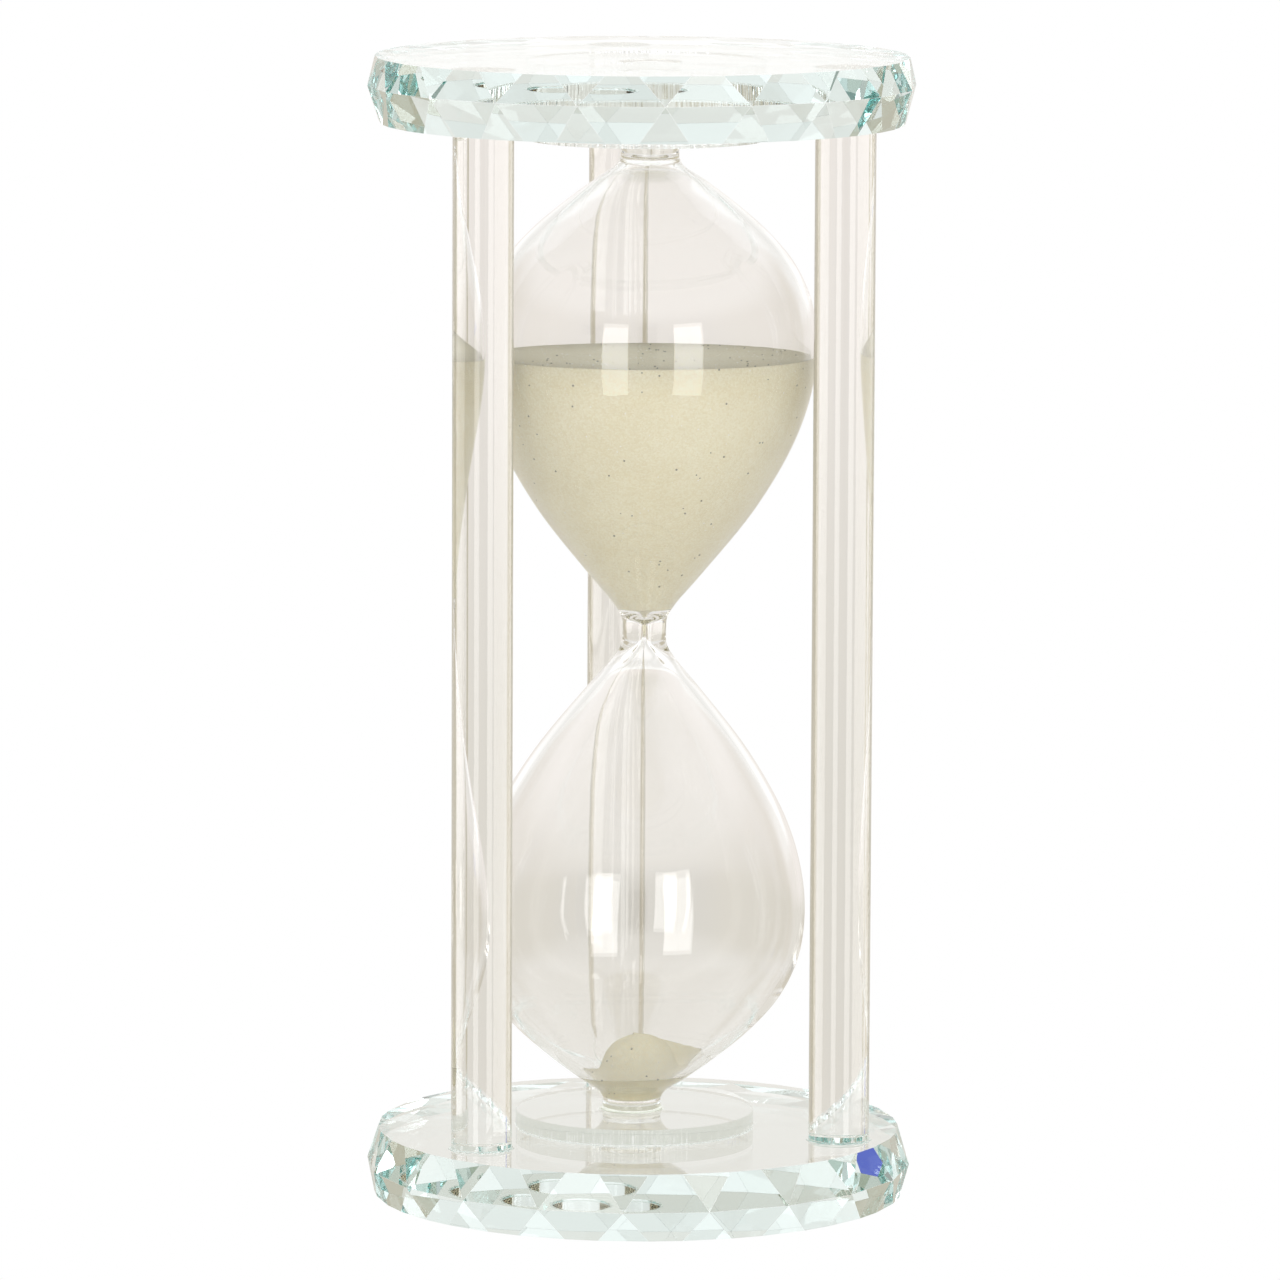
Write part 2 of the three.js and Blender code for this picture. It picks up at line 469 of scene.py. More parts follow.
class GeometryRecipe:
    """A Geometry Nodes tree with named inputs that ends in one realised, dressed mesh."""

    def __init__(self, name: str, inputs: dict[str, str], shaped: bool = False) -> None:
        """Start the tree.

        Args:
            name: The tree's name.
            inputs: Type of each named input.
            shaped: Whether the tree works on the piece's own mesh.
        """
        self.tree = Tree(bpy.data.node_groups.new(name, "GeometryNodeTree"))
        self.tree.socket("Geometry", "Geometry", result=True)
        if shaped:
            self.tree.socket("Geometry", "Geometry")
        for socket, kind in inputs.items():
            self.tree.socket(socket, kind)
        self.tree.socket("Material", "Material")
        self.given = self.tree.add("NodeGroupInput").outputs

    def finish(self, shape: bpy.types.Node) -> None:
        """End the tree: realise the instances, set the material and give the result out."""
        real = self.tree.add("GeometryNodeRealizeInstances", {"Geometry": shape})
        dressed = self.tree.add(
            "GeometryNodeSetMaterial", {"Geometry": real, "Material": self.given["Material"]}
        )
        self.tree.add("NodeGroupOutput", {"Geometry": dressed})

    def make(self, name: str, values: dict[str, object],
             mesh: bpy.types.Mesh | None = None) -> bpy.types.Object:
        """Run the tree and keep its result as a plain mesh.

        Args:
            name: The piece's name.
            values: A value for each named input, and the material.
            mesh: The mesh that the tree works on, if it needs one.

        Returns:
            A piece that holds the result and has no modifier.
        """
        piece = new_piece(name, mesh or bpy.data.meshes.new(name))
        modifier = piece.modifiers.new("Recipe", "NODES")
        modifier.node_group = self.tree.tree
        for item in self.tree.tree.interface.items_tree:
            if item.in_out == "INPUT" and item.name in values:
                modifier[item.identifier] = values[item.name]
        depsgraph = bpy.context.evaluated_depsgraph_get()
        result = bpy.data.meshes.new_from_object(piece.evaluated_get(depsgraph))
        piece.modifiers.remove(modifier)
        piece.data = result
        return piece


# Finishes


class GlassEffects:
    """Shader groups that the clear finishes share."""

    def __init__(self, layout: Layout) -> None:
        """Build the groups for one layout."""
        self.layout = layout
        self.waves = self.build_waves()
        self.marks = self.build_marks()
        self.disc = self.build_disc()
        self.joints = {
            Joint.PLATE: self.build_plate_joint(),
            Joint.ROD: self.build_rod_joint(),
            Joint.FLANGE: self.build_flange_joint(),
            Joint.MARKED: self.build_marked_joint(),
        }

    @staticmethod
    def build_waves() -> bpy.types.NodeTree:
        """Build the slight waves of a glass surface, which may be drawn out along Z."""
        inputs = {"Size": ("Float", 0.01), "Drawn": ("Float", 1.0)}
        tree = shader_group("Glass waves", inputs, {"Height": "Float"})
        given = tree.add("NodeGroupInput").outputs
        per_metre = tree.math("DIVIDE", 1.0, given["Size"])
        stretch = tree.add("ShaderNodeCombineXYZ", {0: 1.0, 1: 1.0, 2: given["Drawn"]})
        stretched = tree.vector("MULTIPLY", tree.place(), stretch)
        broad = tree.add("ShaderNodeTexNoise", {"Vector": stretched, "Scale": per_metre, "Detail": 2.0})
        tree.add("NodeGroupOutput", {"Height": broad.outputs["Fac"]})
        return tree.tree

    @staticmethod
    def build_marks() -> bpy.types.NodeTree:
        """Build the faint patches and wipe marks that handling leaves on a polished surface."""
        inputs = {"Scale": ("Float", 45.0), "Handled": ("Float", 0.03)}
        tree = shader_group("Handling marks", inputs, {"Roughness": "Float"})
        given = tree.add("NodeGroupInput").outputs
        patches = tree.add(
            "ShaderNodeTexNoise", {"Vector": tree.place(), "Scale": given["Scale"], "Detail": 4.0}
        )
        spread = {"Value": patches.outputs["Fac"], "From Min": 0.55, "From Max": 0.75}
        amount = tree.add("ShaderNodeMapRange", spread | {"To Min": 0.0, "To Max": given["Handled"]})
        tree.add("NodeGroupOutput", {"Roughness": amount})
        return tree.tree

    @staticmethod
    def build_disc() -> bpy.types.NodeTree:
        """Build the mask of a round spot that may stand at another X on each plate."""
        inputs = dict.fromkeys(("Side", "Lower X", "Upper X", "Y", "Radius"), ("Float", 0.0))
        tree = shader_group("Glued spot", inputs, {"Mask": "Float"})
        given = tree.add("NodeGroupInput").outputs
        flat = tree.vector("MULTIPLY", tree.place(), ALONG_PLATE)
        across = {0: given["Side"], 2: given["Lower X"], 3: given["Upper X"]}
        x = tree.add("ShaderNodeMix", across, data_type="FLOAT")
        middle = tree.add("ShaderNodeCombineXYZ", {0: x, 1: given["Y"]})
        apart = tree.vector("DISTANCE", flat, middle, result="Value")
        mask = tree.math("LESS_THAN", apart, given["Radius"])
        tree.add("NodeGroupOutput", {"Mask": mask})
        return tree.tree

    def start_joint(self, name: str) -> tuple[Tree, bpy.types.NodeSocket, bpy.types.NodeSocket]:
        """Start a joint group.

        Args:
            name: The group's name.

        Returns:
            The tree, a point's reach from half height, and 1 in the upper half or 0 in the lower.
        """
        tree = shader_group(name, {}, {"Alpha": "Float"})
        height = tree.add("ShaderNodeSeparateXYZ", {0: tree.place()}).outputs["Z"]
        side = tree.math("GREATER_THAN", height, self.layout.waist)
        return tree, tree.math("ABSOLUTE", tree.math("SUBTRACT", height, self.layout.waist)), side

    def spots(self, tree: Tree, side: bpy.types.NodeSocket,
              spots: list[tuple[float, float, float, float]]) -> bpy.types.NodeSocket:
        """Return the mask of several round spots.

        Args:
            tree: The group's tree.
            side: 1 in the upper half and 0 in the lower.
            spots: Lower X, upper X, Y and radius of each.

        Returns:
            A socket that is 1 inside any spot.
        """
        covered = 0.0
        for spot in spots:
            disc = tree.add("ShaderNodeGroup", node_tree=self.disc)
            for name, value in zip(("Side", "Lower X", "Upper X", "Y", "Radius"), (side, *spot)):
                tree.feed(disc.inputs[name], value)
            covered = tree.math("MAXIMUM", covered, disc.outputs[0])
        return covered

    def build_plate_joint(self) -> bpy.types.NodeTree:
        """Build the mask of a plate's inner face, where the rods and a flange are glued to it."""
        tree, reach, side = self.start_joint("Plate joints")
        on_face = tree.math("LESS_THAN", reach, self.layout.plate_reach + BOND_REACH / 2)
        spots = [(rod.x, rod.x, rod.y, self.layout.rod_radius) for rod in self.layout.rods.values()]
        flanges = self.layout.flanges
        spots.append((flanges[End.LOWER].x, flanges[End.UPPER].x, 0.0, self.layout.flange_radius))
        bonded = tree.math("MULTIPLY", on_face, self.spots(tree, side, spots))
        tree.add("NodeGroupOutput", {"Alpha": tree.math("SUBTRACT", 1.0, bonded)})
        return tree.tree

    def build_rod_joint(self) -> bpy.types.NodeTree:
        """Build the mask of the rods' ends."""
        tree, reach, _ = self.start_joint("Rod joints")
        open_side = tree.math("LESS_THAN", reach, self.layout.plate_reach + BOND_REACH / 2)
        tree.add("NodeGroupOutput", {"Alpha": open_side})
        return tree.tree

    def build_flange_joint(self) -> bpy.types.NodeTree:
        """Build the mask of a flange's face on its plate and of the spot under the tube's seal."""
        tree, reach, side = self.start_joint("Flange joints")
        on_plate = tree.math("GREATER_THAN", reach, self.layout.plate_reach + BOND_REACH / 2)
        rise = self.layout.waist - self.layout.flange_rise
        seals = self.layout.seals
        spot = (seals[End.LOWER].x, seals[End.UPPER].x, 0.0, self.layout.seal_radius)
        under_seal = self.spots(tree, side, [spot])
        on_face = tree.math("MULTIPLY", tree.math("LESS_THAN", reach, rise + BOND_REACH / 2), under_seal)
        bonded = tree.math("MAXIMUM", on_plate, on_face)
        tree.add("NodeGroupOutput", {"Alpha": tree.math("SUBTRACT", 1.0, bonded)})
        return tree.tree

    @staticmethod
    def build_marked_joint() -> bpy.types.NodeTree:
        """Build the mask of the faces that a mesh marks as glued."""
        tree = shader_group("Marked joints", {}, {"Alpha": "Float"})
        mark = tree.add("ShaderNodeAttribute", attribute_name=BOND_ATTRIBUTE).outputs["Fac"]
        tree.add("NodeGroupOutput", {"Alpha": tree.math("SUBTRACT", 1.0, mark)})
        return tree.tree


@dataclass(frozen=True)
class ClearFinish:
    """A clear solid: polished glass, acrylic or cured adhesive.

    Absorption is how strongly a metre of the material takes up red, green and blue.
    """

    name: str
    joint: Joint
    absorption: Colour
    wave_size: float
    wave_depth: float
    drawn: float = 1.0
    tint: Colour = WHITE

    def build(self, effects: GlassEffects) -> bpy.types.Material:
        """Build the material.

        Args:
            effects: The shared shader groups.

        Returns:
            The material.
        """
        material, tree = new_material(self.name)
        waves = tree.add("ShaderNodeGroup", node_tree=effects.waves)
        waves.inputs["Size"].default_value = self.wave_size
        waves.inputs["Drawn"].default_value = self.drawn
        bump = tree.add("ShaderNodeBump", {"Height": waves, "Distance": self.wave_depth, "Strength": 1.0})
        surface = tree.add(
            "ShaderNodeBsdfPrincipled",
            {
                "Base Color": (*self.tint, 1.0),
                "Roughness": tree.add("ShaderNodeGroup", node_tree=effects.marks),
                "IOR": CLEAR_IOR,
                "Transmission Weight": 1.0,
                "Alpha": tree.add("ShaderNodeGroup", node_tree=effects.joints[self.joint]),
                "Normal": bump,
            },
        )
        density = max(self.absorption)
        kept = tuple(1 - each / density for each in self.absorption)
        volume = tree.add("ShaderNodeVolumeAbsorption", {"Color": (*kept, 1.0), "Density": density})
        tree.add("ShaderNodeOutputMaterial", {"Surface": surface, "Volume": volume})
        return material


@dataclass(frozen=True)
class SandFinish:
    """Fine pale sand with darker and lighter grains."""

    name: str
    shade: Colour
    light: Colour
    speck_dark: Colour = (0.05, 0.04, 0.03)
    speck_light: Colour = (1.0, 0.98, 0.92)
    grain: float = 0.42 * MM
    relief: float = 0.12 * MM
    relief_strength: float = 0.8
    drift_scale: float = 90.0
    least_rough: float = 0.7
    rough_spread: float = 0.25
    ior: float = 1.45

    def build(self) -> bpy.types.Material:
        """Build the material.

        Returns:
            The material: grain by grain colour, and the specks' own tone where the mesh carries one.
        """
        material, tree = new_material(self.name)
        place = tree.place()
        cells = tree.add("ShaderNodeTexVoronoi", {"Vector": place, "Scale": 1 / self.grain})
        cell_tone = tree.add("ShaderNodeSeparateColor", {0: cells.outputs["Color"]})
        drift = tree.add("ShaderNodeTexNoise", {"Vector": place, "Scale": self.drift_scale, "Detail": 3.0})
        half_tone = tree.math("MULTIPLY", cell_tone.outputs[0], 0.5)
        blend = tree.math("MULTIPLY_ADD", drift.outputs["Fac"], 0.5, half_tone)
        body = tree.mix(blend, self.shade, self.light)
        tone = tree.add("ShaderNodeAttribute", attribute_name=TONE_ATTRIBUTE).outputs["Fac"]
        dark = tree.math("MAXIMUM", tree.math("MULTIPLY", tone, -1.0), 0.0)
        light = tree.math("MAXIMUM", tone, 0.0)
        darkened = tree.mix(dark, body, self.speck_dark)
        colour = tree.mix(light, darkened, self.speck_light)
        height = tree.math("SUBTRACT", 1.0, cells.outputs["Distance"])
        relief = {"Height": height, "Distance": self.relief, "Strength": self.relief_strength}
        bump = tree.add("ShaderNodeBump", relief)
        rough = tree.math("MULTIPLY_ADD", cell_tone.outputs[1], self.rough_spread, self.least_rough)
        surface = tree.add(
            "ShaderNodeBsdfPrincipled",
            {"Base Color": colour, "Roughness": rough, "Normal": bump, "IOR": self.ior},
        )
        tree.add("ShaderNodeOutputMaterial", {"Surface": surface})
        return material


# Plates, rods and flanges


@dataclass
class Plate:
    """A thick glass plate: a twenty-sided girdle between two bands of facets."""

    end: End
    layout: Layout
    turn_degrees: float
    facets: int = 20
    girdle_radius: float = 76 * MM
    girdle_height: float = 8.1 * MM
    outer_apothem: float = 73.7 * MM
    inner_apothem: float = 72.6 * MM
    facet_half_width: float = 4.6 * MM
    arris: float = 0.02 * MM
    flat_degrees: float = 0.5  # hull faces that meet at less than this are one facet

    @staticmethod
    def recipe() -> GeometryRecipe:
        """Build the tree: the hull of a girdle ring and, on each face, two rings of facet corners."""
        sizes = ["Girdle Radius", "Girdle Level", "Outer Radius", "Outer Spread", "Outer Level"]
        sizes += ["Inner Radius", "Inner Spread", "Inner Level", "Turn"]
        recipe = GeometryRecipe("Faceted plate", {"Facets": "Int"} | dict.fromkeys(sizes, "Float"))
        tree, given = recipe.tree, recipe.given
        half_facet = tree.math("DIVIDE", math.pi, given["Facets"])
        mid_facet = tree.math("ADD", given["Turn"], half_facet)
        rings = [(given["Girdle Radius"], given["Turn"], given["Girdle Level"])]
        for face in ("Outer", "Inner"):
            for way in ("ADD", "SUBTRACT"):
                angle = tree.math(way, mid_facet, given[f"{face} Spread"])
                rings.append((given[f"{face} Radius"], angle, given[f"{face} Level"]))
        joined = tree.add("GeometryNodeJoinGeometry")
        for radius, angle, level in rings:
            ring = tree.add("GeometryNodeMeshCircle", {"Vertices": given["Facets"], "Radius": radius})
            lift = tree.add("ShaderNodeCombineXYZ", {2: level})
            turn = tree.add("ShaderNodeCombineXYZ", {2: angle})
            placed = tree.add(
                "GeometryNodeTransform", {"Geometry": ring, "Translation": lift, "Rotation": turn}
            )
            tree.feed(joined.inputs[0], placed)
        recipe.finish(tree.add("GeometryNodeConvexHull", {"Geometry": joined}))
        return recipe

    def build(self, recipe: GeometryRecipe, glass: bpy.types.Material) -> None:
        """Build the plate and ease its edges.

        Args:
            recipe: The faceted plate's tree.
            glass: Its finish.
        """
        values = {
            "Facets": self.facets,
            "Girdle Radius": self.girdle_radius,
            "Girdle Level": self.layout.level(self.end, self.girdle_height),
            "Outer Level": self.layout.level(self.end, 0.0),
            "Inner Level": self.layout.level(self.end, self.layout.plate_thickness),
            "Turn": math.radians(self.turn_degrees),
            "Material": glass,
        }
        for face, apothem in (("Outer", self.outer_apothem), ("Inner", self.inner_apothem)):
            values[f"{face} Radius"] = math.hypot(apothem, self.facet_half_width)
            values[f"{face} Spread"] = math.atan2(self.facet_half_width, apothem)
        piece = recipe.make(f"{self.end.value}_plate_glass", values)
        shell = bmesh.new()
        shell.from_mesh(piece.data)
        flat = math.radians(self.flat_degrees)
        bmesh.ops.dissolve_limit(shell, angle_limit=flat, verts=shell.verts, edges=shell.edges)
        bmesh.ops.recalc_face_normals(shell, faces=shell.faces)
        bmesh.ops.bevel(
            shell, geom=shell.edges[:], offset=self.arris, segments=1, affect="EDGES", clamp_overlap=True
        )
        shell.to_mesh(piece.data)
        shell.free()
        hand_in(piece, Slot.PLATE_GLASS, "base_plate" if self.end is End.LOWER else "top_plate")


@dataclass
class Rod:
    """A clear solid glass rod, glued end on to both plates, with a bead of adhesive at each end."""

    place: Place
    layout: Layout
    sides: int = 128
    bead: Bead = Bead(0.7 * MM, 0.7 * MM, 192, wander=0.25 * MM)

    @staticmethod
    def recipe() -> GeometryRecipe:
        """Build the tree: a circle swept along a straight line, with closed ends."""
        inputs = {"Foot": "Vector", "Head": "Vector", "Radius": "Float", "Sides": "Int"}
        recipe = GeometryRecipe("Glass rod", inputs)
        tree, given = recipe.tree, recipe.given
        line = tree.add("GeometryNodeCurvePrimitiveLine", {"Start": given["Foot"], "End": given["Head"]})
        ring = tree.add(
            "GeometryNodeCurvePrimitiveCircle", {"Resolution": given["Sides"], "Radius": given["Radius"]}
        )
        rod = tree.add("GeometryNodeCurveToMesh", {"Curve": line, "Profile Curve": ring, "Fill Caps": True})
        recipe.finish(rod)
        return recipe

    def build(self, recipe: GeometryRecipe, glass: bpy.types.Material) -> None:
        """Build the rod.

        Args:
            recipe: The rod's tree.
            glass: Its finish.
        """
        middle = self.layout.rods[self.place]
        foot = self.layout.plate_thickness - BOND_REACH
        values = {
            "Foot": (middle.x, middle.y, foot),
            "Head": (middle.x, middle.y, self.layout.top - foot),
            "Radius": self.layout.rod_radius,
            "Sides": self.sides,
            "Material": glass,
        }
        name = f"rod_{self.place.value}"
        piece = recipe.make(f"{name}_glass", values)
        for face in piece.data.polygons:
            face.use_smooth = len(face.vertices) == 4
        hand_in(piece, Slot.ROD_GLASS, name)

    def build_beads(self, adhesive: bpy.types.Material) -> None:
        """Build the ring of squeezed-out adhesive round each end of the rod.

        Args:
            adhesive: Its finish.
        """
        middle, radius = self.layout.rods[self.place], self.layout.rod_radius
        for end in End:
            node = f"{end.value}_pad_{self.place.value}"
            self.bead.build(node, self.layout, end, middle, radius, adhesive)


@dataclass
class Flange:
    """A clear acrylic disc with a saw-cut edge, glued to its plate."""

    end: End
    layout: Layout
    steps: int = 900
    saw_depth: float = 0.10 * MM
    saw_pitch: float = 0.8 * MM
    noise_span: float = 0.25  # the share of its range that the noise behind the marks covers
    bead: Bead = Bead(0.4 * MM, 0.45 * MM, 720, wander=0.3 * MM, wander_size=0.8 * MM)

    @staticmethod
    def recipe() -> GeometryRecipe:
        """Build the tree: a disc whose edge steps in and out by the saw's marks."""
        sizes = ["Radius", "Thickness", "Level", "Shift", "Saw Depth", "Saw Scale", "Seed"]
        recipe = GeometryRecipe("Saw-cut disc", {"Steps": "Int"} | dict.fromkeys(sizes, "Float"))
        tree, given = recipe.tree, recipe.given
        disc = tree.add(
            "GeometryNodeMeshCylinder",
            {"Vertices": given["Steps"], "Radius": given["Radius"], "Depth": given["Thickness"]},
        )
        place = tree.add("GeometryNodeInputPosition").outputs[0]
        unit = tree.vector("NORMALIZE", tree.vector("MULTIPLY", place, ALONG_PLATE))
        marks = tree.add(
            "ShaderNodeTexNoise",
            {"Vector": unit, "W": given["Seed"], "Scale": given["Saw Scale"], "Detail": 1.0},
            noise_dimensions="4D",
        )
        depth = tree.math("MULTIPLY", tree.math("SUBTRACT", marks.outputs["Fac"], 0.5), given["Saw Depth"])
        cut = tree.add("ShaderNodeVectorMath", {0: unit, "Scale": depth}, operation="SCALE")
        sawn = tree.add("GeometryNodeSetPosition", {"Geometry": disc.outputs["Mesh"], "Offset": cut})
        lift = tree.add("ShaderNodeCombineXYZ", {0: given["Shift"], 2: given["Level"]})
        recipe.finish(tree.add("GeometryNodeTransform", {"Geometry": sawn, "Translation": lift}))
        return recipe

    def build(self, recipe: GeometryRecipe, acrylic: bpy.types.Material) -> None:
        """Build the flange.

        Args:
            recipe: The saw-cut disc's tree.
            acrylic: Its finish.
        """
        middle = self.layout.flanges[self.end]
        thickness = self.layout.flange_rise - self.layout.plate_thickness + BOND_REACH
        start = self.layout.plate_thickness - BOND_REACH
        values = {
            "Steps": self.steps,
            "Radius": self.layout.flange_radius,
            "Thickness": thickness,
            "Level": self.layout.level(self.end, start + thickness / 2),
            "Shift": middle.x,
            "Saw Depth": self.saw_depth / self.noise_span,
            "Saw Scale": self.layout.flange_radius / self.saw_pitch,
            "Seed": 1.0 + self.end.inward,
            "Material": acrylic,
        }
        name = f"{self.end.value}_flange"
        piece = recipe.make(f"{name}_disc", values)
        for face in piece.data.polygons:
            face.use_smooth = False
        hand_in(piece, Slot.ACRYLIC, name)

    def build_bead(self, adhesive: bpy.types.Material) -> None:
        """Build the edge of the adhesive film, where it is squeezed out round the flange.

        Args:
            adhesive: Its finish.
        """
        node = f"{self.end.value}_flange_film"
        middle, radius = self.layout.flanges[self.end], self.layout.flange_radius - self.saw_depth
        self.bead.build(node, self.layout, self.end, middle, radius, adhesive)


# Blown glass, seals and sand


@dataclass
class BlownGlass:
    """The one-piece glass: two bulbs, a thick neck with a narrow bore, and a tube end at each plate.

    Outlines are pairs of distance from the neck and radius, in millimetres.
    """

    layout: Layout
    neck_height: float = 158 * MM
    neck_shift: float = 1.2 * MM
    tube_outer: float = TUBE_RADIUS
    tube_inner: float = 6.1 * MM
    tube_level: float = 24.3 * MM
    segments: int = 224
    steps: int = 7
    unevenness: float = 0.10 * MM
    uneven_scale: float = 38.0
    lean: dict[End, float] = field(default_factory=lambda: {End.LOWER: -3 * MM, End.UPPER: 1 * MM})
    outside: Outline = field(default_factory=lambda: [
        (0, 6), (3.6, 6.3), (7.2, 8.3), (15.5, 15.3), (34, 30), (52, 40.5), (66, 45.3), (78, 46.9),
        (91, 45.6), (102, 40.9), (111, 33.4), (119, 24.2), (126, 14.9), (129.6, 9.5), (131.8, 8.1),
    ])
    bowl: Outline = field(default_factory=lambda: [
        (15.5, 12.2), (34, 27.3), (52, 38.4), (66, 43.6), (78, 45.4), (91, 43.9), (102, 38.6),
        (111, 30.5), (119, 20.8), (126, 11.3), (129.5, 7.2), (131.8, 6.1),
    ])
    neck_bore: dict[End, Outline] = field(default_factory=lambda: {
        End.UPPER: [(0, 0.6), (2.2, 0.7), (3, 1.8), (4.2, 3.8), (6, 5.4), (9, 7.4)],
        End.LOWER: [(0, 0.6), (2.2, 0.8), (4.5, 1.9), (7.5, 4.3), (11, 8.2)],
    })

    def shift_at(self, height: float) -> float:
        """Return how far the glass stands off the plates' middle at a height."""
        end = End.LOWER if height < self.neck_height else End.UPPER
        reach = abs(self.layout.level(end, self.tube_level) - self.neck_height)
        return self.neck_shift + self.lean[end] * abs(height - self.neck_height) / reach

    def place_outline(self, outline: Outline, end: End, steps: int) -> Outline:
        """Return a smooth wall line as pairs of radius and height, from the neck towards one end.

        Args:
            outline: Pairs of distance from the neck and radius, in millimetres.
            end: The end that the line runs towards.
            steps: Steps between two points of the outline.
        """
        curve = smooth_curve(outline, steps)
        return [(radius * MM, self.neck_height - end.inward * distance * MM) for distance, radius in curve]

    def inner_wall(self, end: End, steps: int) -> Outline:
        """Return the inside wall of one bulb, from the neck towards its end."""
        return self.place_outline(self.neck_bore[end] + self.bowl, end, steps)

    def lean_over(self, corners: np.ndarray) -> np.ndarray:
        """Return corners moved sideways with the glass's lean."""
        moved = corners.copy()
        moved[:, 0] += [self.shift_at(height) for height in corners[:, 2]]
        return moved

    def build(self, glass: bpy.types.Material, seals: dict[End, "TubeSeal"]) -> None:
        """Build the glass.

        Args:
            glass: Its finish.
            seals: The adhesive that each tube end stands in.
        """
        lower, upper = (self.layout.level(end, self.tube_level) for end in End)
        collar = seals[End.LOWER].fillet_height
        outline = [(self.tube_outer, lower), (self.tube_outer, lower + collar)]
        outline += self.place_outline(self.outside, End.LOWER, self.steps)[::-1]
        outline += self.place_outline(self.outside, End.UPPER, self.steps)[1:]
        outline += [(self.tube_outer, upper - collar), (self.tube_outer, upper), (self.tube_inner, upper)]
        outline += self.inner_wall(End.UPPER, self.steps)[::-1]
        outline += self.inner_wall(End.LOWER, self.steps)[1:]
        outline += [(self.tube_inner, lower)]
        corners, faces = revolve(outline, self.segments, closed=True)
        corners = self.lean_over(self.soften(corners))
        mesh = closed_mesh("glass_bulb_blown", corners, faces, glass)
        mark_bonded(mesh, lambda middle: any(seal.holds(middle) for seal in seals.values()))
        hand_in(new_piece(mesh.name, mesh), Slot.BLOWN_GLASS, "glass_bulb")

    def soften(self, corners: np.ndarray) -> np.ndarray:
        """Return corners with the slight unevenness of glass blown by hand."""
        moved = corners.copy()
        for row in moved:
            radius = math.hypot(row[0], row[1])
            if radius < self.tube_outer * TUBE_MARGIN:
                continue
            wave = noise.noise(Vector(row) * self.uneven_scale) * self.unevenness
            row[:2] *= 1 + wave / radius
        return moved


@dataclass
class TubeSeal:
    """The slightly yellow adhesive that closes a tube end and glues it to its flange."""

    end: End
    glass: BlownGlass
    plug_depth: float
    fillet_width: float = FILLET_WIDTH
    fillet_height: float = 0.9 * MM
    dip: float = 0.5 * MM
    dip_steps: int = 6
    segments: int = 96

    def holds(self, point: Vector) -> bool:
        """Tell whether a point of the tube's wall lies inside the adhesive."""
        end_level = self.glass.layout.level(self.end, self.glass.tube_level)
        depth = (point.z - end_level) * self.end.inward
        radius = math.hypot(point.x - self.glass.shift_at(point.z), point.y)
        middle_wall = (self.glass.tube_inner + self.glass.tube_outer) / 2
        reach = self.plug_depth if radius < middle_wall else self.fillet_height
        return depth < reach and radius < self.glass.tube_outer * TUBE_MARGIN

    def build(self, adhesive: bpy.types.Material) -> None:
        """Build the adhesive: a foot on the flange, a plug in the tube and a fillet round it.

        Args:
            adhesive: Its finish.
        """
        glass = self.glass
        outer, inner = glass.tube_outer, glass.tube_inner
        tube_end, foot = glass.tube_level, glass.layout.flange_rise
        outline = [(0.0, foot - BOND_REACH), (outer + self.fillet_width, foot - BOND_REACH)]
        outline += fillet(outer, self.fillet_width, foot, tube_end - foot + self.fillet_height)
        outline += [
            (outer - BOND_REACH, tube_end + self.fillet_height),
            (outer - BOND_REACH, tube_end + BOND_REACH),
            (inner + BOND_REACH, tube_end + BOND_REACH),
            (inner + BOND_REACH, tube_end + self.plug_depth),
        ]
        for step in range(1, self.dip_steps + 1):
            radius = inner * (1 - step / self.dip_steps)
            outline.append((radius, tube_end + self.plug_depth - self.dip * (1 - (radius / inner) ** 2)))
        placed = [(radius, glass.layout.level(self.end, height)) for radius, height in outline]
        corners, faces = revolve(placed, self.segments)
        name = f"{self.end.value}_tube_seal"
        mesh = closed_mesh(f"{name}_adhesive", glass.lean_over(corners), faces, adhesive)
        mark_bonded(mesh, self.is_joint_face)
        hand_in(new_piece(mesh.name, mesh), Slot.ADHESIVE, name)

    def is_joint_face(self, middle: Vector) -> bool:
        """Tell whether a face of the adhesive lies against the tube's glass or the flange."""
        glass = self.glass
        height = middle.z if self.end is End.LOWER else glass.layout.top - middle.z
        radius = math.hypot(middle.x - glass.shift_at(middle.z), middle.y)
        on_flange = height < glass.layout.flange_rise
        on_inner_wall = abs(radius - glass.tube_inner) < 2 * BOND_REACH
        on_outer_wall = abs(radius - glass.tube_outer) < 2 * BOND_REACH and height > glass.tube_level
        on_tube_end = abs(height - glass.tube_level) < 2 * BOND_REACH
        return on_flange or on_inner_wall or on_outer_wall or on_tube_end


